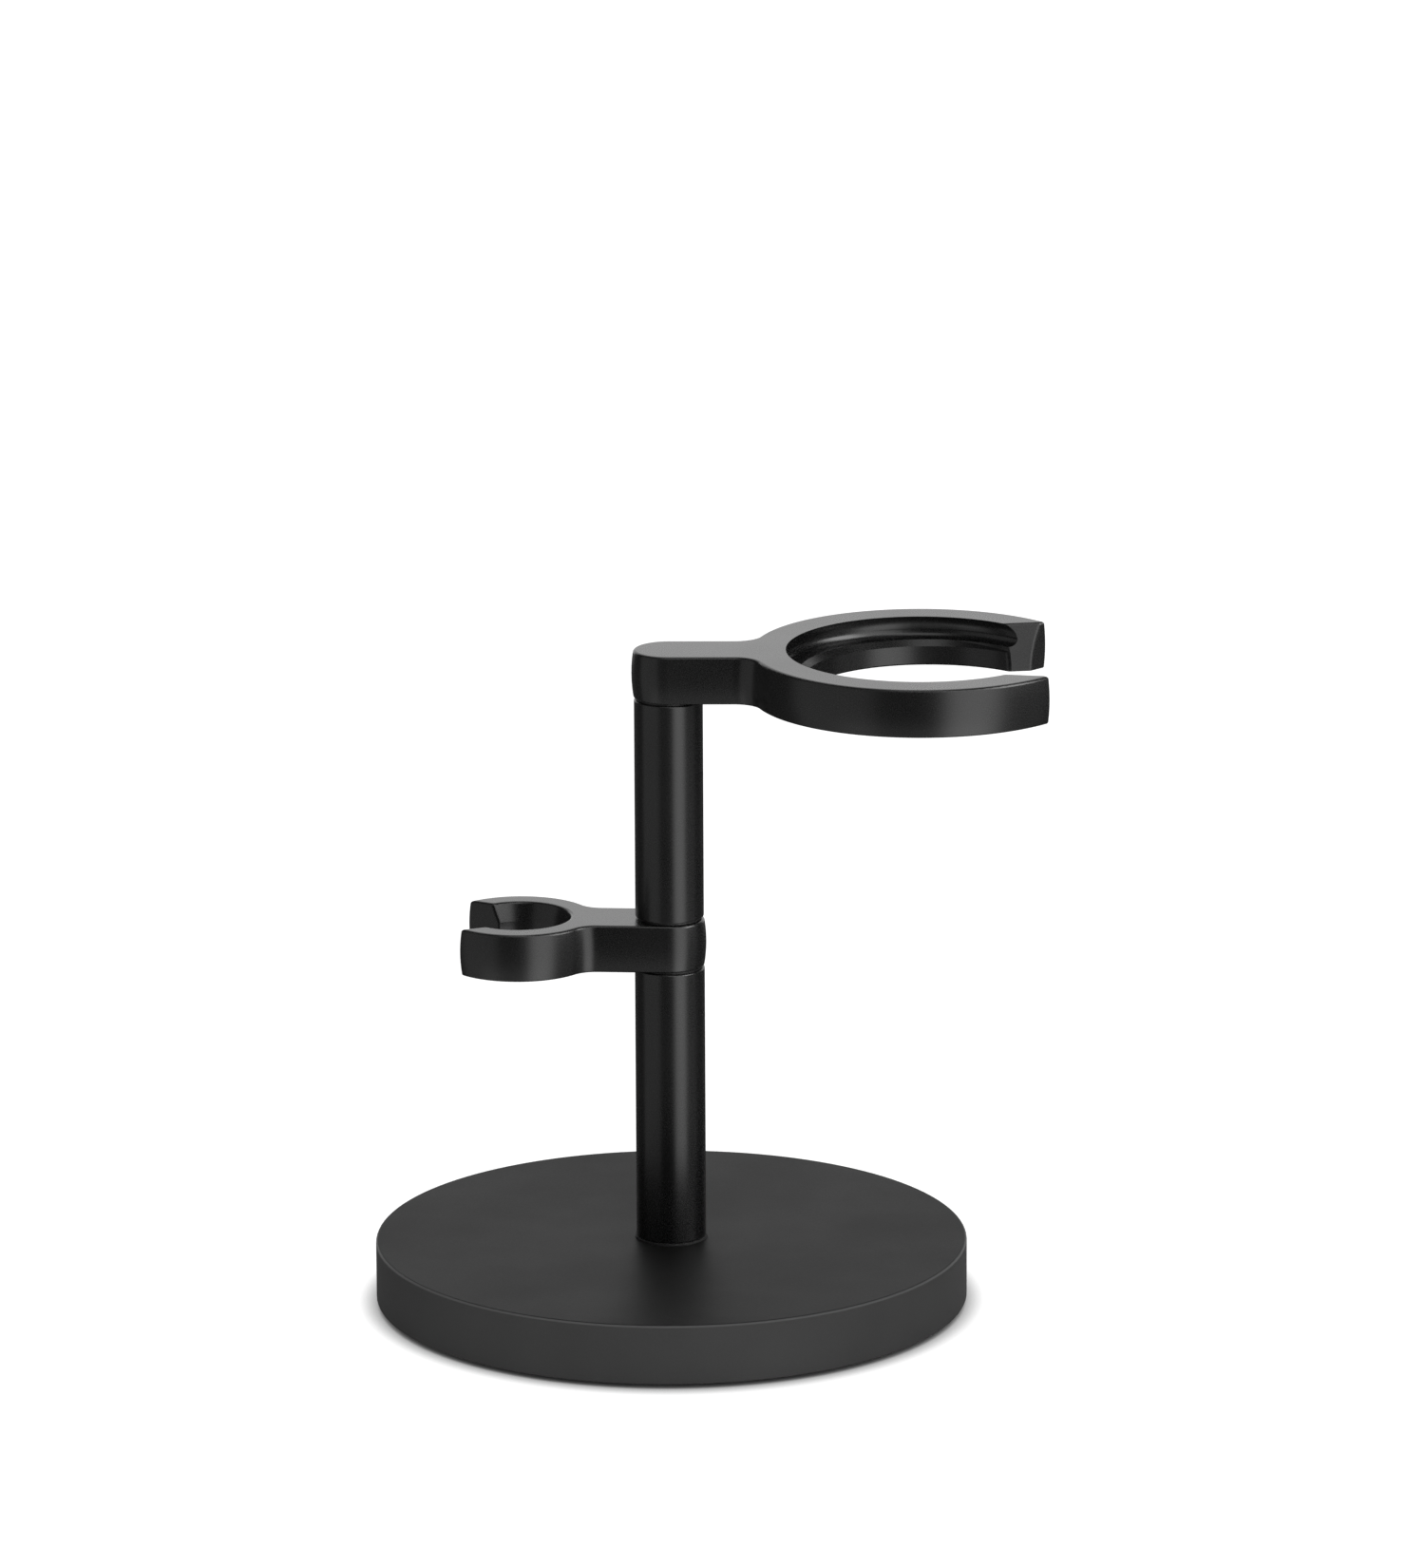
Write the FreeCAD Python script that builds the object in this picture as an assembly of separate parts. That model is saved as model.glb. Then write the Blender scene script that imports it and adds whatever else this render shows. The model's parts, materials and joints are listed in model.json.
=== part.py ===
import FreeCAD, Part
import math
import os

# Countertop stand for a safety razor and a shaving brush, in millimetres, +Z up.
# Origin: centre of the rubber pad's underside, on the post's axis.
# +X points along the brush arm, -X along the razor arm.

V = FreeCAD.Vector
UP = V(0, 0, 1)
ORIGIN = V(0, 0, 0)

# Base disc and the pad let into its underside
BASE_R = 44.2
BASE_THICK = 9.0
BASE_TOP_ROUND = 0.45
BASE_BOTTOM_ROUND = 0.3
PAD_R = 41.0
PAD_THICK = 1.5
PAD_PROUD = 0.7
PAD_ROUND = 0.15
PAD_RECESS_GAP = 0.25
GLUE_THICK = 0.1
GLUE_INSET = 1.0

# Foot screw: M5 button head, driven from below
THREAD_R = 2.45
THREAD_CORE_R = 2.1
THREAD_PITCH = 0.8
TAPPED_R = 2.5
CLEARANCE_HOLE_R = 2.75
SCREW_HEAD_R = 4.75
SCREW_HEAD_H = 2.75
SCREW_DOME_R = 6.2
HEX_SOCKET_AF = 3.0
HEX_SOCKET_DEPTH = 1.6
HEAD_POCKET_R = 5.5
SPRING_WASHER_R = 4.6
SPRING_WASHER_BORE_R = 2.6
SPRING_WASHER_THICK = 1.2
SPRING_WASHER_SPLIT = 0.8
FLAT_WASHER_R = 5.0
FLAT_WASHER_BORE_R = 2.65
FLAT_WASHER_THICK = 1.0
FLOOR_UNDER_HEAD = 3.2
SCREW_REACH = 8.0

# Post: two round bars with the razor arm's hub clamped between them
LOWER_POST_R = 5.2
LOWER_POST_LEN = 41.6
UPPER_POST_R = 5.1
UPPER_POST_LEN = 33.2
POST_END_ROUND = 0.2
TAPPED_DEPTH = 10.0
TAPPED_CHAMFER = 0.4
GASKET_R = 5.4
GASKET_THICK = 0.3
GASKET_BORE_R = 2.8

# Nylon friction washers at the swivels
WASHER_R = 4.7
WASHER_THICK = 0.3
WASHER_BORE_R = 2.6
SWIVEL_GAP = 0.05

# Studs that tie the post together
STUD_ENGAGEMENT = 9.0
STUD_JOURNAL_R = 2.5
STUD_END_CHAMFER = 0.4

# Both arms: flat bars with a round hub, crowned sides and softened edges
ARM_H = 7.15
ARM_HALF_W = 5.45
ARM_CROWN = 0.3
ARM_TOP_ROUND = 0.45
ARM_BOTTOM_ROUND = 0.25
NECK_FILLET = 4.0

# Razor arm
CLIP_REACH = 22.4
CLIP_R = 11.4
CLIP_TOP_R = 7.75
CLIP_BORE_R = 6.85
CLIP_SEAT_DEPTH = 2.8
CLIP_MOUTH_HALF = 5.65
CLIP_MOUTH_START = 3.0
CLIP_MOUTH_SPLAY = 24.0
CLIP_LIP_ROUND = 0.8
RAZOR_ARM_TURN = 177.0
BUSH_R = 3.5
BUSH_BORE_R = 2.55
BUSH_PRESS_GAP = 0.02

# Brush arm
RING_REACH = 37.15
RING_R = 25.2
RING_BORE_R = 18.5
RING_BORE_SHIFT = 1.4
RING_HALF_GAP = 14.7
RING_MOUTH_SPLAY = 9.0
RING_FLARE_START = 16.7
RING_FLARE_SPLAY = 45.0
RING_LIP_ROUND = 0.9
RING_CORNER_ROUND = 1.0
GAP_EASE = 1.2
COVE_LIP_R = 19.8
COVE_MAX_R = 20.9
COVE_MAX_DEPTH = 2.1
COVE_FLOOR_ROUND = 1.3
LEDGE_BEVEL = 0.85
LEDGE_Z = ARM_H - COVE_MAX_DEPTH - COVE_FLOOR_ROUND
HUB_BORE_DEPTH = 5.0
STUD_TIP_GAP = 0.3

# Heights up the post
DISC_BOTTOM_Z = PAD_PROUD
DISC_TOP_Z = DISC_BOTTOM_Z + BASE_THICK
LOWER_POST_Z = DISC_TOP_Z + GASKET_THICK
LOWER_POST_TOP_Z = LOWER_POST_Z + LOWER_POST_LEN
RAZOR_ARM_Z = LOWER_POST_TOP_Z + WASHER_THICK + SWIVEL_GAP
UPPER_WASHER_Z = RAZOR_ARM_Z + ARM_H + SWIVEL_GAP
UPPER_POST_Z = UPPER_WASHER_Z + WASHER_THICK
UPPER_POST_TOP_Z = UPPER_POST_Z + UPPER_POST_LEN
BRUSH_ARM_Z = UPPER_POST_TOP_Z + WASHER_THICK + SWIVEL_GAP
RECESS_TOP_Z = PAD_THICK
FLAT_WASHER_Z = DISC_TOP_Z - FLOOR_UNDER_HEAD - FLAT_WASHER_THICK
SPRING_WASHER_Z = FLAT_WASHER_Z - SPRING_WASHER_THICK
HEAD_BOTTOM_Z = SPRING_WASHER_Z - SCREW_HEAD_H

# Construction: tolerance, cutter overrun, and how edges to be rounded are picked
TINY = 1e-4
OVERCUT = 1.0
EDGE_REACH = 1.2
UPRIGHT_LENGTH = 0.9 * ARM_H


def revolve(points):
    """Solid of revolution about Z from (radius, z) points."""
    ring = [V(r, 0, z) for r, z in points]
    wire = Part.makePolygon(ring + ring[:1])
    return Part.Face(wire).revolve(ORIGIN, UP, 360)


def tube(outer_r, inner_r, z, height):
    """Plain ring between two radii, standing on z."""
    outer = Part.makeCylinder(outer_r, height, V(0, 0, z))
    return outer.cut(Part.makeCylinder(inner_r, height + 2 * OVERCUT, V(0, 0, z - OVERCUT)))


def prism(points, z, height):
    """Vertical prism over a closed plan outline."""
    ring = [V(x, y, z) for x, y in points]
    return Part.Face(Part.makePolygon(ring + ring[:1])).extrude(V(0, 0, height))


def flat_at(edge, z):
    """True when an edge lies wholly in the plane at height z."""
    box = edge.BoundBox
    return abs(box.ZMin - z) < TINY and abs(box.ZMax - z) < TINY


def edges_at(shape, z):
    """Edges lying in the plane at height z."""
    return [edge for edge in shape.Edges if flat_at(edge, z)]


def round_edges_at(shape, z, radius):
    """Circular edges of one radius lying in the plane at height z."""
    return [edge for edge in edges_at(shape, z)
            if abs(getattr(edge.Curve, "Radius", 0) - radius) < TINY]


def upright_edges_near(shape, x, y):
    """Edges that climb most of an arm's height and pass close to a plan point."""
    found = []
    for edge in shape.Edges:
        box = edge.BoundBox
        middle = edge.valueAt(0.5 * (edge.FirstParameter + edge.LastParameter))
        if box.ZLength > UPRIGHT_LENGTH and math.hypot(middle.x - x, middle.y - y) < EDGE_REACH:
            found.append(edge)
    return found


def thread_profile(z_low, z_high):
    """(radius, z) points of a ridged thread flank, climbing from z_low to z_high."""
    turns = int((z_high - z_low) / THREAD_PITCH)
    margin = 0.5 * (z_high - z_low - turns * THREAD_PITCH)
    points = [(THREAD_CORE_R, z_low + margin)]
    for turn in range(turns):
        z = z_low + margin + turn * THREAD_PITCH
        points.append((THREAD_R, z + 0.5 * THREAD_PITCH))
        points.append((THREAD_CORE_R, z + THREAD_PITCH))
    return points


def base_disc():
    """Weighted disc with a pad recess and a stepped hole for the foot screw."""
    disc = Part.makeCylinder(BASE_R, BASE_THICK, V(0, 0, DISC_BOTTOM_Z))
    disc = disc.makeFillet(BASE_TOP_ROUND, edges_at(disc, DISC_TOP_Z))
    disc = disc.makeFillet(BASE_BOTTOM_ROUND, edges_at(disc, DISC_BOTTOM_Z))
    recess_depth = RECESS_TOP_Z - DISC_BOTTOM_Z
    recess = Part.makeCylinder(PAD_R + PAD_RECESS_GAP, recess_depth, V(0, 0, DISC_BOTTOM_Z))
    head_depth = DISC_TOP_Z - FLOOR_UNDER_HEAD - DISC_BOTTOM_Z
    head_pocket = Part.makeCylinder(HEAD_POCKET_R, head_depth, V(0, 0, DISC_BOTTOM_Z))
    hole = Part.makeCylinder(CLEARANCE_HOLE_R, BASE_THICK, V(0, 0, DISC_BOTTOM_Z))
    return disc.cut(recess).cut(head_pocket).cut(hole)


def base_pad():
    """Rubber pad, standing slightly proud of the disc."""
    pad = Part.makeCylinder(PAD_R, PAD_THICK - GLUE_THICK)
    return pad.makeFillet(PAD_ROUND, edges_at(pad, 0))


def pad_adhesive():
    """Thin ring of adhesive between the pad and the recess."""
    return tube(PAD_R - GLUE_INSET, HEAD_POCKET_R + GLUE_INSET, PAD_THICK - GLUE_THICK, GLUE_THICK)


def base_screw():
    """Button-head screw with a hexagon socket, head down."""
    top_z = HEAD_BOTTOM_Z + SCREW_HEAD_H
    tip_z = LOWER_POST_Z + SCREW_REACH
    shank = [(0, top_z), (THREAD_CORE_R, top_z)]
    shank += thread_profile(top_z + THREAD_PITCH, tip_z - STUD_END_CHAMFER)
    shank += [(THREAD_CORE_R - STUD_END_CHAMFER, tip_z), (0, tip_z)]
    head = Part.makeCylinder(SCREW_HEAD_R, SCREW_HEAD_H, V(0, 0, HEAD_BOTTOM_Z))
    dome = Part.makeSphere(SCREW_DOME_R, V(0, 0, HEAD_BOTTOM_Z + SCREW_DOME_R))
    corner_r = HEX_SOCKET_AF / math.sqrt(3)
    corners = [(corner_r * math.cos(math.radians(a)), corner_r * math.sin(math.radians(a)))
               for a in range(0, 360, 60)]
    socket = prism(corners, HEAD_BOTTOM_Z - OVERCUT, HEX_SOCKET_DEPTH + OVERCUT)
    return head.common(dome).fuse(revolve(shank)).removeSplitter().cut(socket)


def base_spring_washer():
    """Split spring washer above the screw head."""
    ring = tube(SPRING_WASHER_R, SPRING_WASHER_BORE_R, SPRING_WASHER_Z, SPRING_WASHER_THICK)
    split = Part.makeBox(SPRING_WASHER_R + OVERCUT, SPRING_WASHER_SPLIT, SPRING_WASHER_THICK,
                         V(0, -0.5 * SPRING_WASHER_SPLIT, SPRING_WASHER_Z))
    return ring.cut(split)


def base_flat_washer():
    """Flat washer against the disc's inner shoulder."""
    return tube(FLAT_WASHER_R, FLAT_WASHER_BORE_R, FLAT_WASHER_Z, FLAT_WASHER_THICK)


def foot_gasket():
    """Thin collar between the post and the disc, slightly wider than the post."""
    return tube(GASKET_R, GASKET_BORE_R, DISC_TOP_Z, GASKET_THICK)


def post(z, length, radius):
    """Round bar, tapped at both ends."""
    bar = Part.makeCylinder(radius, length, V(0, 0, z))
    bar = bar.makeFillet(POST_END_ROUND, edges_at(bar, z) + edges_at(bar, z + length))
    mouth_r = TAPPED_R + TAPPED_CHAMFER
    low = revolve([(0, z), (mouth_r, z), (TAPPED_R, z + TAPPED_CHAMFER),
                   (TAPPED_R, z + TAPPED_DEPTH), (0, z + TAPPED_DEPTH + TAPPED_R / 2)])
    top = z + length
    high = revolve([(0, top), (mouth_r, top), (TAPPED_R, top - TAPPED_CHAMFER),
                    (TAPPED_R, top - TAPPED_DEPTH), (0, top - TAPPED_DEPTH - TAPPED_R / 2)])
    return bar.cut(low).cut(high)


def swivel_washer(z):
    """Nylon washer, set in from the post's edge."""
    return tube(WASHER_R, WASHER_BORE_R, z, WASHER_THICK)


def stud(z_low, journal_low, journal_high, z_high):
    """Double-ended stud: thread, plain journal, thread."""
    tip_r = THREAD_CORE_R - STUD_END_CHAMFER
    points = [(0, z_low), (tip_r, z_low)]
    points += thread_profile(z_low + STUD_END_CHAMFER, journal_low - STUD_END_CHAMFER)
    points += [(STUD_JOURNAL_R, journal_low), (STUD_JOURNAL_R, journal_high)]
    points += thread_profile(journal_high + STUD_END_CHAMFER, z_high - STUD_END_CHAMFER)
    points += [(tip_r, z_high), (0, z_high)]
    return revolve(points)


def middle_stud():
    """Stud through the razor arm's hub, screwed into both post bars."""
    return stud(LOWER_POST_TOP_Z - STUD_ENGAGEMENT, LOWER_POST_TOP_Z + STUD_END_CHAMFER,
                UPPER_POST_Z - STUD_END_CHAMFER, UPPER_POST_Z + STUD_ENGAGEMENT)


def top_stud():
    """Stud that carries the brush arm."""
    tip_z = BRUSH_ARM_Z + HUB_BORE_DEPTH - STUD_TIP_GAP
    return stud(UPPER_POST_TOP_Z - STUD_ENGAGEMENT, UPPER_POST_TOP_Z,
                UPPER_POST_TOP_Z + WASHER_THICK, tip_z)


def crowned_disc(radius, x):
    """Disc of arm height whose side bulges slightly at mid height."""
    edge_r = radius - ARM_CROWN
    side = Part.Arc(V(edge_r, 0, 0), V(radius, 0, ARM_H / 2), V(edge_r, 0, ARM_H)).toShape()
    lines = Part.makePolygon([V(edge_r, 0, ARM_H), V(0, 0, ARM_H), ORIGIN, V(edge_r, 0, 0)])
    disc = Part.Face(Part.Wire([side] + lines.Edges)).revolve(ORIGIN, UP, 360)
    disc.translate(V(x, 0, 0))
    return disc


def crowned_bar(length):
    """Bar along +X whose long sides bulge to match the discs."""
    edge_w = ARM_HALF_W - ARM_CROWN
    right = Part.Arc(V(0, edge_w, 0), V(0, ARM_HALF_W, ARM_H / 2), V(0, edge_w, ARM_H)).toShape()
    left = Part.Arc(V(0, -edge_w, 0), V(0, -ARM_HALF_W, ARM_H / 2), V(0, -edge_w, ARM_H)).toShape()
    low = Part.makeLine(V(0, -edge_w, 0), V(0, edge_w, 0))
    high = Part.makeLine(V(0, -edge_w, ARM_H), V(0, edge_w, ARM_H))
    return Part.Face(Part.Wire([low, right, high, left])).extrude(V(length, 0, 0))


def arm_blank(reach, end_r):
    """Hub, bar and end disc in one piece, the necks blended with fillets."""
    blank = crowned_disc(ARM_HALF_W, 0).fuse(crowned_bar(reach)).fuse(crowned_disc(end_r, reach))
    blank = blank.removeSplitter()
    neck_x = reach - math.sqrt(end_r ** 2 - ARM_HALF_W ** 2)
    necks = []
    for side in (1, -1):
        necks += upright_edges_near(blank, neck_x, side * ARM_HALF_W)
    return blank.makeFillet(NECK_FILLET, necks)


def flare_cut(centre_x, start, half_gap, splay):
    """Prism that opens a mouth outwards at an angle from its narrowest point."""
    run = 4 * ARM_H
    spread = run * math.tan(math.radians(splay))
    points = [(centre_x + start, -half_gap), (centre_x + start + run, -half_gap - spread),
              (centre_x + start + run, half_gap + spread), (centre_x + start, half_gap)]
    return prism(points, -OVERCUT, ARM_H + 2 * OVERCUT)


def round_mouth(arm, x, half_gap, radius):
    """Round the pair of upright edges that stand at x on both sides of a mouth."""
    pair = []
    for side in (1, -1):
        pair += upright_edges_near(arm, x, side * half_gap)
    return arm.makeFillet(radius, pair)


def clip_cutter():
    """Tapered seat above a plain bore, with a mouth opening outwards."""
    seat_z = ARM_H - CLIP_SEAT_DEPTH
    slope = (CLIP_TOP_R - CLIP_BORE_R) / CLIP_SEAT_DEPTH
    cutter = revolve([(0, -OVERCUT), (CLIP_BORE_R, -OVERCUT), (CLIP_BORE_R, seat_z),
                      (CLIP_TOP_R + slope * OVERCUT, ARM_H + OVERCUT), (0, ARM_H + OVERCUT)])
    cutter = cutter.fuse(flare_cut(0, CLIP_MOUTH_START, CLIP_MOUTH_HALF, CLIP_MOUTH_SPLAY))
    cutter.translate(V(CLIP_REACH, 0, 0))
    return cutter


def clip_throat_edges(arm):
    """Upright edges where the clip's bore and seat meet its mouth."""
    found = []
    for edge in arm.Edges:
        box = edge.BoundBox
        middle = edge.valueAt(0.5 * (edge.FirstParameter + edge.LastParameter))
        reach = math.hypot(middle.x - CLIP_REACH, middle.y)
        if box.ZLength > OVERCUT and CLIP_BORE_R - TINY < reach < CLIP_TOP_R:
            found.append(edge)
    return found


def razor_arm():
    """Short arm ending in an open clip for a razor's handle."""
    arm = arm_blank(CLIP_REACH, CLIP_R).cut(clip_cutter())
    arm = arm.makeFillet(CLIP_LIP_ROUND, clip_throat_edges(arm))
    arm = arm.makeFillet(ARM_BOTTOM_ROUND, edges_at(arm, 0))
    arm = arm.makeFillet(ARM_TOP_ROUND, edges_at(arm, ARM_H))
    arm = arm.cut(Part.makeCylinder(BUSH_R + BUSH_PRESS_GAP, ARM_H + 2 * OVERCUT, V(0, 0, -OVERCUT)))
    arm.rotate(ORIGIN, UP, RAZOR_ARM_TURN)
    arm.translate(V(0, 0, RAZOR_ARM_Z))
    return arm


def razor_arm_bush():
    """Nylon bush in the razor arm's hub, running on the stud."""
    return tube(BUSH_R, BUSH_BORE_R, RAZOR_ARM_Z, ARM_H)


def quarter(centre, radius, start_deg, end_deg):
    """Arc in the XZ plane about a centre, between two angles from +X."""
    points = []
    for angle in (start_deg, 0.5 * (start_deg + end_deg), end_deg):
        turn = math.radians(angle)
        points.append(centre + V(radius * math.cos(turn), 0, radius * math.sin(turn)))
    return Part.Arc(*points).toShape()


def cove_cutter():
    """Round cutter for the ring's undercut seat, down to the ledge."""
    widest_z = ARM_H - COVE_MAX_DEPTH
    swell = COVE_MAX_R - COVE_LIP_R
    wall_r = (COVE_MAX_DEPTH ** 2 + swell ** 2) / (2 * swell)
    lean = math.degrees(math.asin(COVE_MAX_DEPTH / wall_r))
    wall = quarter(V(COVE_MAX_R - wall_r, 0, widest_z), wall_r, lean, 0)
    floor = quarter(V(COVE_MAX_R - COVE_FLOOR_ROUND, 0, widest_z), COVE_FLOOR_ROUND, 0, -90)
    closing = Part.makePolygon([V(COVE_MAX_R - COVE_FLOOR_ROUND, 0, LEDGE_Z), V(0, 0, LEDGE_Z),
                                V(0, 0, ARM_H + OVERCUT), V(COVE_LIP_R, 0, ARM_H + OVERCUT),
                                V(COVE_LIP_R, 0, ARM_H)])
    outline = Part.Wire([wall, floor] + closing.Edges)
    cutter = Part.Face(outline).revolve(ORIGIN, UP, 360)
    cutter.translate(V(RING_REACH, 0, 0))
    return cutter


def ledge_bevel():
    """Cone that bevels the ledge's inner edge without reaching under the cove's wall."""
    low_z = LEDGE_Z - LEDGE_BEVEL
    cone = Part.makeCone(RING_BORE_R, RING_BORE_R + LEDGE_BEVEL, LEDGE_BEVEL,
                         V(RING_REACH + RING_BORE_SHIFT, 0, low_z))
    inside = Part.makeCylinder(COVE_MAX_R - COVE_FLOOR_ROUND, LEDGE_BEVEL, V(RING_REACH, 0, low_z))
    return cone.common(inside)


def gap_half(side):
    """One half of the ring's mouth: its wall eases outwards towards the top and splays in plan."""
    low = -OVERCUT
    high = ARM_H + OVERCUT
    widening = math.tan(math.radians(RING_MOUTH_SPLAY))
    root_y = RING_HALF_GAP - RING_FLARE_START * widening
    ease_r = (ARM_H ** 2 + GAP_EASE ** 2) / (2 * GAP_EASE)
    half_turn = 0.5 * math.asin(ARM_H / ease_r)
    middle_y = root_y + ease_r * (1 - math.cos(half_turn))
    middle_z = ease_r * math.sin(half_turn)
    foot, middle, top = [V(RING_REACH, side * y, z) for y, z in
                         ((root_y, 0), (middle_y, middle_z), (root_y + GAP_EASE, ARM_H))]
    rest = Part.makePolygon([top, V(top.x, top.y, high), V(RING_REACH, -top.y, high),
                             V(RING_REACH, -top.y, low), V(foot.x, foot.y, low), foot])
    outline = Part.Wire([Part.Arc(foot, middle, top).toShape()] + rest.Edges)
    run = 2 * RING_FLARE_START
    return Part.Face(outline).extrude(V(run, side * run * widening, 0))


def brush_arm():
    """Long arm ending in an open, coved ring for a brush's neck."""
    arm = arm_blank(RING_REACH, RING_R)
    bore_x = RING_REACH + RING_BORE_SHIFT
    bore = Part.makeCylinder(RING_BORE_R, ARM_H + 2 * OVERCUT, V(bore_x, 0, -OVERCUT))
    arm = arm.cut(bore).cut(gap_half(1)).cut(gap_half(-1))
    arm = arm.cut(flare_cut(RING_REACH, RING_FLARE_START, RING_HALF_GAP, RING_FLARE_SPLAY))
    corner_x = bore_x + math.sqrt(RING_BORE_R ** 2 - RING_HALF_GAP ** 2)
    arm = round_mouth(arm, corner_x, RING_HALF_GAP, RING_CORNER_ROUND)
    arm = round_mouth(arm, RING_REACH + RING_FLARE_START, RING_HALF_GAP, RING_LIP_ROUND)
    arm = arm.cut(cove_cutter()).cut(ledge_bevel())
    arm = arm.makeFillet(ARM_BOTTOM_ROUND, edges_at(arm, 0))
    lip = round_edges_at(arm, ARM_H, COVE_LIP_R)
    rim = [edge for edge in edges_at(arm, ARM_H) if not any(edge.isSame(other) for other in lip)]
    arm = arm.makeFillet(ARM_TOP_ROUND, rim)
    tap = revolve([(0, -OVERCUT), (TAPPED_R, -OVERCUT), (TAPPED_R, HUB_BORE_DEPTH),
                   (0, HUB_BORE_DEPTH)])
    arm = arm.cut(tap)
    arm.translate(V(0, 0, BRUSH_ARM_Z))
    return arm


def build():
    """Every piece by name."""
    return {
        "base_disc": base_disc(),
        "base_pad": base_pad(),
        "pad_adhesive": pad_adhesive(),
        "base_screw": base_screw(),
        "base_spring_washer": base_spring_washer(),
        "base_flat_washer": base_flat_washer(),
        "foot_gasket": foot_gasket(),
        "lower_post": post(LOWER_POST_Z, LOWER_POST_LEN, LOWER_POST_R),
        "lower_swivel_washer": swivel_washer(LOWER_POST_TOP_Z),
        "razor_arm": razor_arm(),
        "razor_arm_bush": razor_arm_bush(),
        "upper_swivel_washer": swivel_washer(UPPER_WASHER_Z),
        "middle_stud": middle_stud(),
        "upper_post": post(UPPER_POST_Z, UPPER_POST_LEN, UPPER_POST_R),
        "top_swivel_washer": swivel_washer(UPPER_POST_TOP_Z),
        "top_stud": top_stud(),
        "brush_arm": brush_arm(),
    }


os.makedirs("parts", exist_ok=True)
for node, shape in build().items():
    shape.exportStep("parts/" + node + ".step")
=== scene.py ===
import json
import math

import bpy
from mathutils import Matrix, Vector


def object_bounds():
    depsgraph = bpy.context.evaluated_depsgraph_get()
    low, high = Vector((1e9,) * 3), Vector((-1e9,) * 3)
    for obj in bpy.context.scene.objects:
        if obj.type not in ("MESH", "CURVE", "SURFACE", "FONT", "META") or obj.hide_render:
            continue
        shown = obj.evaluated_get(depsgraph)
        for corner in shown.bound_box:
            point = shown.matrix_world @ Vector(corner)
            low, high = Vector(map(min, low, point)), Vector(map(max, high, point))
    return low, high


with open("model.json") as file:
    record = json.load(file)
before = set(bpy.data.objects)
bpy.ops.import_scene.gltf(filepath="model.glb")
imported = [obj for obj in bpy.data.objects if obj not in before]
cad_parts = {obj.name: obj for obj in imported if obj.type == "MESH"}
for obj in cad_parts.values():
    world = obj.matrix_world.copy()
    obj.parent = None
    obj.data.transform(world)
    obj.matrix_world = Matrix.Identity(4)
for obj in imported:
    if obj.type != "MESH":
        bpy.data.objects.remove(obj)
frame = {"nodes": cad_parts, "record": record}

CAD_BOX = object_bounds()
NODES = frame["nodes"]
MM = 0.001

# Camera: angles in radians, place in metres, lens in millimetres
CAMERA_PLACE = Vector((0.02572, -1.48861, 0.47438))
CAMERA_YAW = 0.012934
CAMERA_PITCH = 0.259223
CAMERA_ROLL = -0.004732
CAMERA_LENS_MM = 239.09
SENSOR_MM = 36.0
CLIP_START = 0.05

# Studio: soft panels round the stand, each with its azimuth, half width, lowest and highest
# elevation, softness (all in degrees) and radiance. Azimuth 0 is in front of the stand, and
# positive to the right. The high key is seen only in reflections.
PANELS = {
    "key": (36, 17, -60, 55, 9, 2.6),
    "key_spill": (76, 20, -60, 10, 6, 0.30),
    "fill": (-63, 31, -60, 45, 3, 0.45),
    "backdrop": (180, 42, -8, 80, 4, 1.45),
    "front_top": (4, 34, 48, 88, 6, 1.9),
    "table": (0, 60, -80, -27, 9, 0.6),
}
HIGH_KEY = (72, 15, 8, 50, 5, 8.5)
ROOM_RADIANCE = 0.075
BACKGROUND_RADIANCE = 1.3
LEAST_FLAT = 0.001  # keeps the division finite straight up and down

# Floor: radius in metres, reach of the painted contact shadow in millimetres
FLOOR_RADIUS = 30.0
FLOOR_SIDES = 96
FLOOR_GLOW = 0.98
FLOOR_SHADES = (0.24, 0.28)
FLOOR_MOTTLE = 40.0
# Painted contact shadow: ambient occlusion dims the floor's glow near the stand.
CONTACT_SHADOW_REACH = 3.4
CONTACT_SHADOW_DEPTH = 1.6
CONTACT_SHADOW_SAMPLES = 16

# Surfaces. Noise scales are in cycles per metre, shades are (dark, light) greys, and rise is the
# upward part of the surface's normal.
NOISE_SPAN = (0.3, 0.7)  # where nearly all of a noise lies
CLOUD_SCALE = 60.0
SPECKLE_SCALE = 5200.0
COAT_IOR = 1.50
COAT_SHADES = (0.0035, 0.0055)
POWDER_IOR = 1.145
POWDER_ROUGH = (0.44, 0.52)
# Painted light on the base: the darker top and the paler side stand in for how the light falls on
# them.
POWDER_TOP_PAINTED_SHADE = (0.007, 0.010)
POWDER_SIDE_PAINTED_LIGHT = (0.043, 0.050)
# Painted highlight on the rounded edge of the base.
POWDER_EDGE_PAINTED_HIGHLIGHT = 0.10
# Rise from which the darker painted shade of the top takes over from the side.
PAINTED_SHADE_TOP_RISE = (0.5, 0.95)
# Rises of the normal over which the painted edge highlight fades in and out.
PAINTED_HIGHLIGHT_RISE_IN = (0.1, 0.5)
PAINTED_HIGHLIGHT_RISE_OUT = (0.75, 0.98)
RING_STRETCH = (0.15, 0.15, 4.0)
RING_SCALE = 2500.0
FLOW_STRETCH = (1.0, 1.0, 0.2)
FLOW_SCALE = 900.0
FINE_DEPTH = 0.02 * MM
PEBBLE_DEPTH = 0.05 * MM
RING_DEPTH = 0.01 * MM

# Places of the colour sockets on a Mix node
MIX_FIRST, MIX_SECOND, MIX_RESULT = 6, 7, 2


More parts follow.
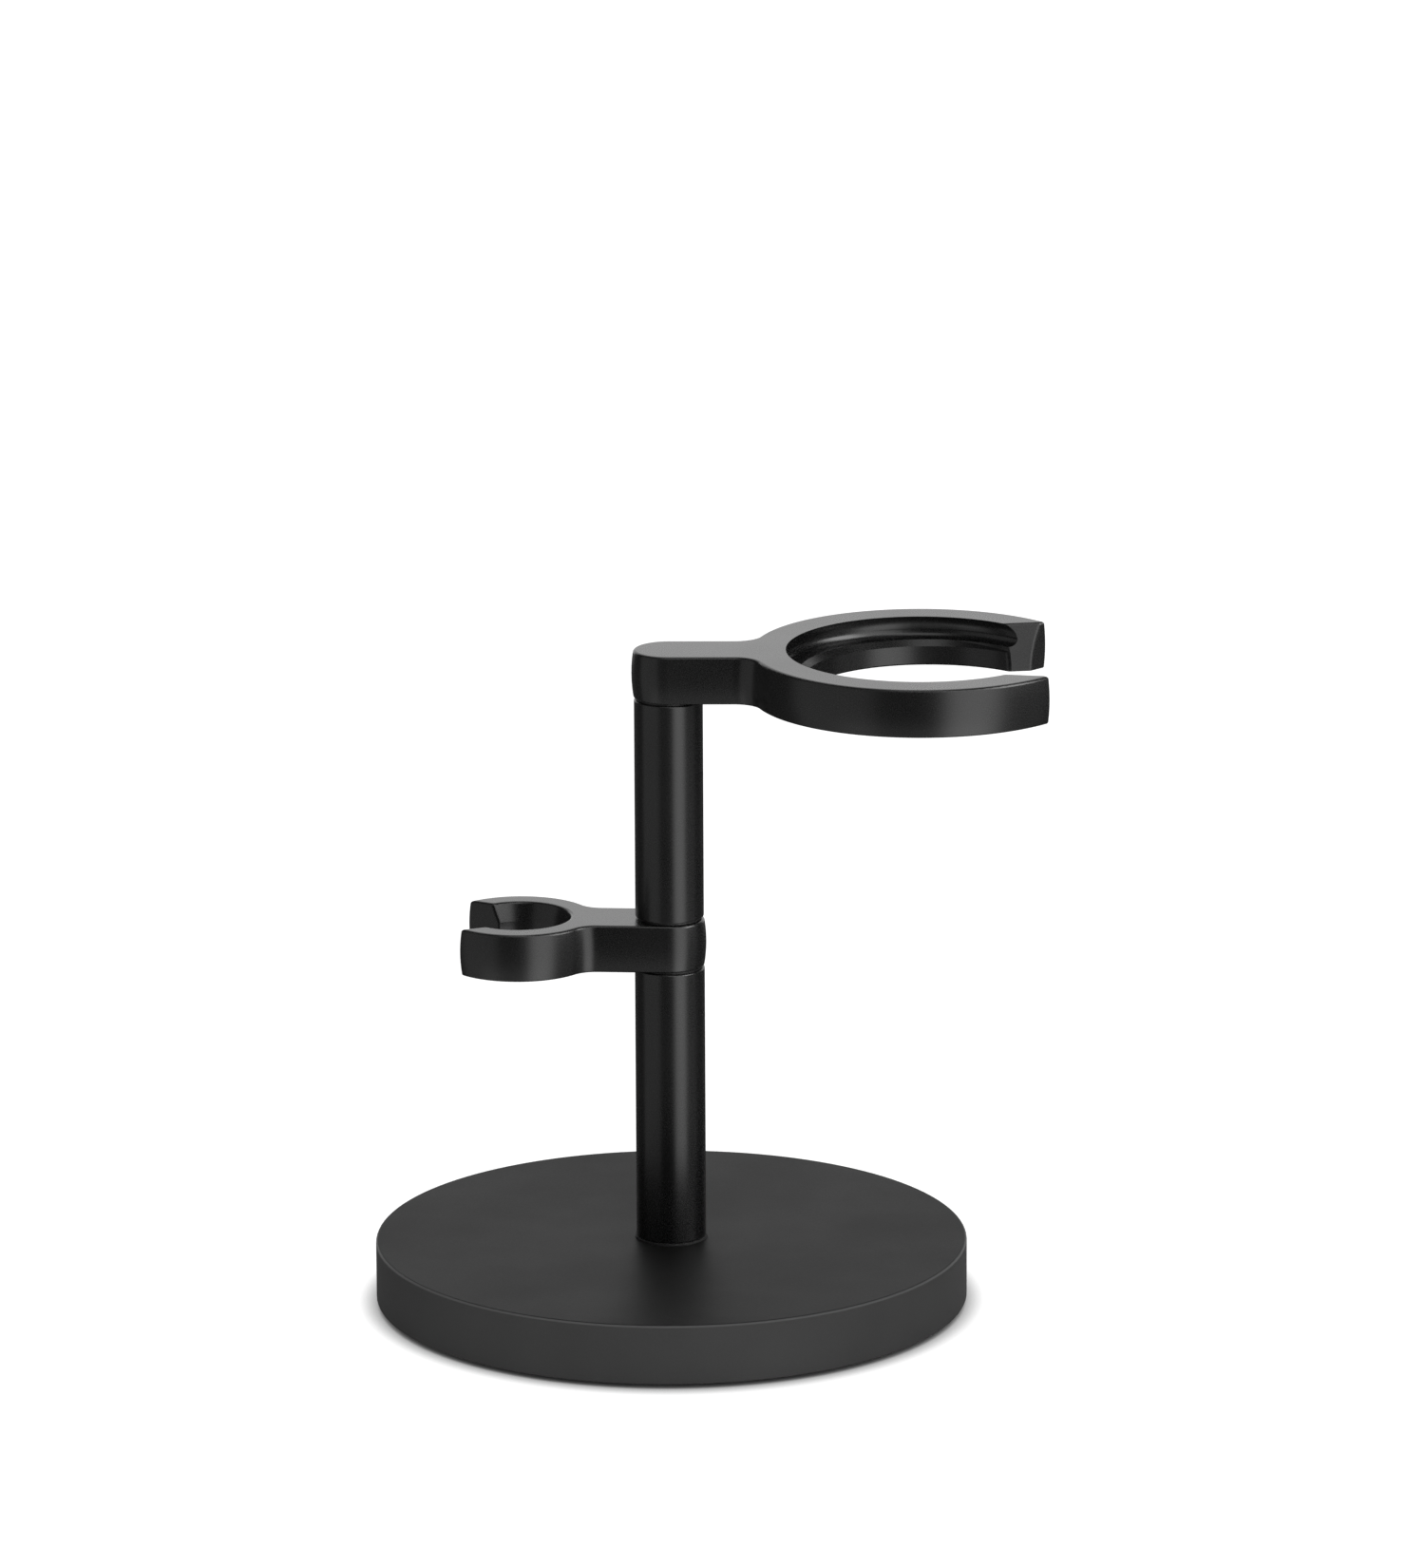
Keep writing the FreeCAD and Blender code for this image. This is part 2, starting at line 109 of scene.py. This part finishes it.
class Nodes:
    """Small helper that adds and links shader nodes."""

    def __init__(self, tree):
        self.tree = tree
        self.tree.nodes.clear()

    def add(self, kind, **values):
        node = self.tree.nodes.new(kind)
        for name, value in values.items():
            setattr(node, name, value)
        return node

    def put(self, socket, value):
        """Link a socket, or set its constant."""
        if isinstance(value, bpy.types.NodeSocket):
            self.tree.links.new(value, socket)
        else:
            socket.default_value = value

    def math(self, operation, *values):
        node = self.add("ShaderNodeMath", operation=operation)
        for socket, value in zip(node.inputs, values):
            self.put(socket, value)
        return node.outputs[0]

    def blend(self, first, second, share):
        """Weighted mean of two values, the second with the given share."""
        return self.math("ADD", self.math("MULTIPLY", first, 1 - share),
                         self.math("MULTIPLY", second, share))

    def ramp(self, value, low, high, to_low=0.0, to_high=1.0):
        """Map a value smoothly from one range onto another, clamped."""
        node = self.add("ShaderNodeMapRange", clamp=True, interpolation_type="SMOOTHSTEP")
        for socket, number in zip(node.inputs[:5], (value, low, high, to_low, to_high)):
            self.put(socket, number)
        return node.outputs[0]

    def spread(self, value, to_low=0.0, to_high=1.0):
        """Stretch a noise over a whole range."""
        return self.ramp(value, *NOISE_SPAN, to_low, to_high)

    def noise(self, vector, scale, detail=3.0, roughness=0.5):
        node = self.add("ShaderNodeTexNoise")
        self.put(node.inputs["Vector"], vector)
        node.inputs["Scale"].default_value = scale
        node.inputs["Detail"].default_value = detail
        node.inputs["Roughness"].default_value = roughness
        return node.outputs["Fac"]

    def cells(self, vector, scale):
        """Distance to the nearest of scattered points."""
        node = self.add("ShaderNodeTexVoronoi", feature="F1")
        self.put(node.inputs["Vector"], vector)
        node.inputs["Scale"].default_value = scale
        return node.outputs["Distance"]

    def scaled(self, vector, factors):
        node = self.add("ShaderNodeVectorMath", operation="MULTIPLY")
        self.put(node.inputs[0], vector)
        node.inputs[1].default_value = factors
        return node.outputs[0]

    def mix_color(self, factor, first, second):
        node = self.add("ShaderNodeMix", data_type="RGBA")
        self.put(node.inputs["Factor"], factor)
        self.put(node.inputs[MIX_FIRST], first)
        self.put(node.inputs[MIX_SECOND], second)
        return node.outputs[MIX_RESULT]

    def mix_grey(self, factor, shades):
        dark, light = shades
        return self.mix_color(factor, grey(dark), grey(light))

    def bump(self, height, strength, distance, normal=None):
        node = self.add("ShaderNodeBump")
        node.inputs["Strength"].default_value = strength
        node.inputs["Distance"].default_value = distance
        self.put(node.inputs["Height"], height)
        if normal is not None:
            self.put(node.inputs["Normal"], normal)
        return node.outputs["Normal"]

    def place(self):
        """Object coordinates, in metres."""
        return self.add("ShaderNodeTexCoord").outputs["Object"]


def new_material(name):
    material = bpy.data.materials.new(name)
    material.use_nodes = True
    return material, Nodes(material.node_tree)


def finish_surface(nodes, **sockets):
    """Principled surface with the given sockets."""
    shader = nodes.add("ShaderNodeBsdfPrincipled")
    for name, value in sockets.items():
        nodes.put(shader.inputs[name.replace("_", " ")], value)
    output = nodes.add("ShaderNodeOutputMaterial")
    nodes.put(output.inputs["Surface"], shader.outputs[0])


def grey(level):
    return (level, level, level, 1.0)


def coat_layers(nodes, rough, grain, grain_mm):
    """Shade factor, roughness and normal of a sprayed coat with an orange-peel grain."""
    place = nodes.place()
    cloud = nodes.noise(place, CLOUD_SCALE, detail=2.0)
    speckle = nodes.noise(place, SPECKLE_SCALE, detail=2.0, roughness=0.6)
    peel = nodes.noise(place, 1.0 / (grain_mm * MM), detail=2.0)
    shade = nodes.blend(cloud, speckle, 0.4)
    gloss = nodes.blend(cloud, speckle, 0.5)
    fine = nodes.bump(speckle, 0.05, FINE_DEPTH)
    normal = nodes.bump(peel, grain, FINE_DEPTH, fine)
    return nodes.spread(shade), nodes.spread(gloss, *rough), normal


def coat_material(name, rough, grain_mm):
    """Satin black coat of the post and arms."""
    material, nodes = new_material(name)
    shade, gloss, normal = coat_layers(nodes, rough, grain=0.08, grain_mm=grain_mm)
    color = nodes.mix_grey(shade, COAT_SHADES)
    finish_surface(nodes, Base_Color=color, Roughness=gloss, IOR=COAT_IOR, Normal=normal)
    return material


def powder_with_painted_light_material(name):
    """Powder coat of the base with painted light: a top in painted shade, a paler painted-lit side
    and a painted highlight on the rounded edge.
    """
    material, nodes = new_material(name)
    shade, gloss, normal = coat_layers(nodes, POWDER_ROUGH, grain=0.25, grain_mm=0.45)
    split = nodes.add("ShaderNodeSeparateXYZ")
    nodes.put(split.inputs[0], nodes.add("ShaderNodeTexCoord").outputs["Normal"])
    rise = split.outputs["Z"]
    # Painted shade on the top and painted light on the side, blended by how much the surface faces
    # up.
    top = nodes.mix_grey(shade, POWDER_TOP_PAINTED_SHADE)
    side = nodes.mix_grey(shade, POWDER_SIDE_PAINTED_LIGHT)
    lit_side_shaded_top_color = nodes.mix_color(nodes.ramp(rise, *PAINTED_SHADE_TOP_RISE), side, top)
    # Painted highlight on the rounded edge, where the normal lies between side and top.
    painted_edge_highlight = nodes.math("MULTIPLY", nodes.ramp(rise, *PAINTED_HIGHLIGHT_RISE_IN),
                      nodes.ramp(rise, *PAINTED_HIGHLIGHT_RISE_OUT, 1.0, 0.0))
    color = nodes.mix_color(painted_edge_highlight, lit_side_shaded_top_color, grey(POWDER_EDGE_PAINTED_HIGHLIGHT))
    finish_surface(nodes, Base_Color=color, Roughness=gloss, IOR=POWDER_IOR, Normal=normal)
    return material


def rubber_material(name, shades):
    """Moulded rubber with a fine pebble."""
    material, nodes = new_material(name)
    place = nodes.place()
    pebble = nodes.cells(place, 1600.0)
    cloud = nodes.noise(place, 90.0)
    finish_surface(nodes, Base_Color=nodes.mix_grey(nodes.spread(cloud), shades),
                   Roughness=nodes.spread(cloud, 0.72, 0.86),
                   Normal=nodes.bump(pebble, 0.35, PEBBLE_DEPTH))
    return material


def nylon_material(name, dark, light):
    """Moulded nylon with faint flow streaks."""
    material, nodes = new_material(name)
    place = nodes.place()
    flow = nodes.noise(nodes.scaled(place, FLOW_STRETCH), FLOW_SCALE)
    finish_surface(nodes, Base_Color=nodes.mix_color(nodes.spread(flow), dark, light),
                   Roughness=nodes.spread(flow, 0.42, 0.58),
                   Normal=nodes.bump(flow, 0.1, FINE_DEPTH))
    return material


def steel_material(name, shades, rough):
    """Turned or rolled steel: fine rings round the Z axis with a cloudy plated shade."""
    material, nodes = new_material(name)
    place = nodes.place()
    rings = nodes.noise(nodes.scaled(place, RING_STRETCH), RING_SCALE, detail=2.0)
    cloud = nodes.noise(place, 350.0)
    wear = nodes.math("MULTIPLY", nodes.math("ADD", rings, cloud), 0.5)
    finish_surface(nodes, Base_Color=nodes.mix_grey(nodes.spread(cloud), shades), Metallic=1.0,
                   Roughness=nodes.ramp(wear, 0.35, 0.65, *rough),
                   Normal=nodes.bump(rings, 0.12, RING_DEPTH))
    return material


def adhesive_material(name):
    """Cloudy tacky film."""
    material, nodes = new_material(name)
    cloud = nodes.noise(nodes.place(), 700.0)
    color = nodes.mix_color(nodes.spread(cloud), (0.62, 0.58, 0.47, 1), (0.74, 0.71, 0.60, 1))
    finish_surface(nodes, Base_Color=color, Roughness=nodes.spread(cloud, 0.25, 0.4),
                   Normal=nodes.bump(cloud, 0.1, FINE_DEPTH))
    return material


def make_materials():
    """One material per slot of the record."""
    return {
        "base_coat": powder_with_painted_light_material("base_coat"),
        "post_coat": coat_material("post_coat", rough=(0.25, 0.31), grain_mm=0.5),
        "arm_coat": coat_material("arm_coat", rough=(0.24, 0.30), grain_mm=0.6),
        "pad_rubber": rubber_material("pad_rubber", shades=(0.006, 0.010)),
        "gasket_rubber": rubber_material("gasket_rubber", shades=(0.003, 0.005)),
        "adhesive_film": adhesive_material("adhesive_film"),
        "swivel_nylon": nylon_material("swivel_nylon", grey(0.004), grey(0.007)),
        "bush_nylon": nylon_material("bush_nylon", (0.58, 0.56, 0.50, 1), (0.70, 0.68, 0.62, 1)),
        "screw_steel": steel_material("screw_steel", shades=(0.42, 0.55), rough=(0.24, 0.36)),
        "washer_steel": steel_material("washer_steel", shades=(0.48, 0.60), rough=(0.28, 0.40)),
        "stud_steel": steel_material("stud_steel", shades=(0.34, 0.46), rough=(0.30, 0.42)),
    }


def paint():
    """Give every CAD node the finished material of its slot."""
    materials = make_materials()
    for part in frame["record"]["subparts"]:
        slots = NODES[part["node"]].data.materials
        for index in range(len(slots)):
            slots[index] = materials[part["material_slot"]]


def panel_light(nodes, across, along, flat, height, panel):
    """Radiance of one soft panel in the direction looked at."""
    azimuth, half_width, low, high, softness, radiance = panel
    turn = math.radians(azimuth)
    facing = nodes.math("ADD", nodes.math("MULTIPLY", across, math.sin(turn)),
                        nodes.math("MULTIPLY", along, -math.cos(turn)))
    facing = nodes.math("DIVIDE", facing, flat)
    side = nodes.ramp(facing, math.cos(math.radians(half_width + softness)),
                      math.cos(math.radians(max(half_width - softness, 0))))
    bottom = nodes.ramp(height, math.sin(math.radians(low - softness)),
                        math.sin(math.radians(low + softness)))
    top = nodes.ramp(height, math.sin(math.radians(high - softness)),
                     math.sin(math.radians(high + softness)), 1.0, 0.0)
    return nodes.math("MULTIPLY", nodes.math("MULTIPLY", side, bottom),
                      nodes.math("MULTIPLY", top, radiance))


def light_studio():
    """World: a dim room with soft panels, and a white background behind the floor."""
    world = bpy.data.worlds.new("studio")
    bpy.context.scene.world = world
    world.use_nodes = True
    world.cycles.sampling_method = "NONE"
    nodes = Nodes(world.node_tree)
    direction = nodes.add("ShaderNodeSeparateXYZ")
    nodes.put(direction.inputs[0], nodes.add("ShaderNodeTexCoord").outputs["Generated"])
    across, along, height = direction.outputs
    squares = nodes.math("ADD", nodes.math("MULTIPLY", across, across),
                         nodes.math("MULTIPLY", along, along))
    flat = nodes.math("MAXIMUM", nodes.math("SQRT", squares), LEAST_FLAT)
    total = ROOM_RADIANCE
    for panel in PANELS.values():
        total = nodes.math("ADD", total, panel_light(nodes, across, along, flat, height, panel))
    paths = nodes.add("ShaderNodeLightPath")
    high_key = panel_light(nodes, across, along, flat, height, HIGH_KEY)
    total = nodes.math("ADD", total, nodes.math("MULTIPLY", high_key, paths.outputs["Is Glossy Ray"]))
    studio = nodes.add("ShaderNodeBackground")
    nodes.put(studio.inputs["Strength"], total)
    plain = nodes.add("ShaderNodeBackground")
    nodes.put(plain.inputs["Strength"], BACKGROUND_RADIANCE)
    mix = nodes.add("ShaderNodeMixShader")
    nodes.put(mix.inputs[0], paths.outputs["Is Camera Ray"])
    nodes.put(mix.inputs[1], studio.outputs[0])
    nodes.put(mix.inputs[2], plain.outputs[0])
    nodes.put(nodes.add("ShaderNodeOutputWorld").inputs[0], mix.outputs[0])


def floor_material():
    """Pale, faintly mottled sweep that glows evenly, with a painted contact shadow: its glow is
    dimmed by ambient occlusion where something stands on it.
    """
    material, nodes = new_material("floor")
    mottle = nodes.noise(nodes.place(), FLOOR_MOTTLE)
    diffuse = nodes.add("ShaderNodeBsdfDiffuse")
    nodes.put(diffuse.inputs["Color"], nodes.mix_grey(mottle, FLOOR_SHADES))
    # Painted contact shadow: the glow is dimmed where the stand shades the floor.
    contact_shadow = nodes.add("ShaderNodeAmbientOcclusion", samples=CONTACT_SHADOW_SAMPLES)
    contact_shadow.inputs["Distance"].default_value = CONTACT_SHADOW_REACH * MM
    painted_shadow_factor = nodes.math("POWER", contact_shadow.outputs["AO"], CONTACT_SHADOW_DEPTH)
    glow = nodes.add("ShaderNodeEmission")
    nodes.put(glow.inputs["Strength"], nodes.math("MULTIPLY", painted_shadow_factor, FLOOR_GLOW))
    both = nodes.add("ShaderNodeAddShader")
    nodes.put(both.inputs[0], diffuse.outputs[0])
    nodes.put(both.inputs[1], glow.outputs[0])
    nodes.put(nodes.add("ShaderNodeOutputMaterial").inputs["Surface"], both.outputs[0])
    return material


def lay_floor():
    """Large flat floor at the underside of the pad."""
    bpy.ops.mesh.primitive_circle_add(vertices=FLOOR_SIDES, radius=FLOOR_RADIUS,
                                      fill_type="NGON", location=(0, 0, CAD_BOX[0].z))
    floor = bpy.context.object
    floor.name = "floor"
    floor.data.materials.append(floor_material())
    floor.visible_glossy = False


def set_camera():
    """Camera in front of the stand, looking a little down."""
    camera = bpy.data.objects.new("camera", bpy.data.cameras.new("camera"))
    bpy.context.scene.collection.objects.link(camera)
    camera.data.sensor_width = SENSOR_MM
    camera.data.lens = CAMERA_LENS_MM
    camera.data.clip_start = CLIP_START
    camera.data.clip_end = 4 * FLOOR_RADIUS
    turn = (Matrix.Rotation(CAMERA_YAW, 4, "Z")
            @ Matrix.Rotation(math.pi / 2 - CAMERA_PITCH, 4, "X")
            @ Matrix.Rotation(CAMERA_ROLL, 4, "Z"))
    camera.matrix_world = Matrix.Translation(CAMERA_PLACE) @ turn
    bpy.context.scene.camera = camera


def set_tones():
    """Plain colour transform, so that the tones stay as lit."""
    settings = bpy.context.scene.view_settings
    settings.view_transform = "Standard"
    settings.look = "None"


paint()
light_studio()
lay_floor()
set_camera()
set_tones()
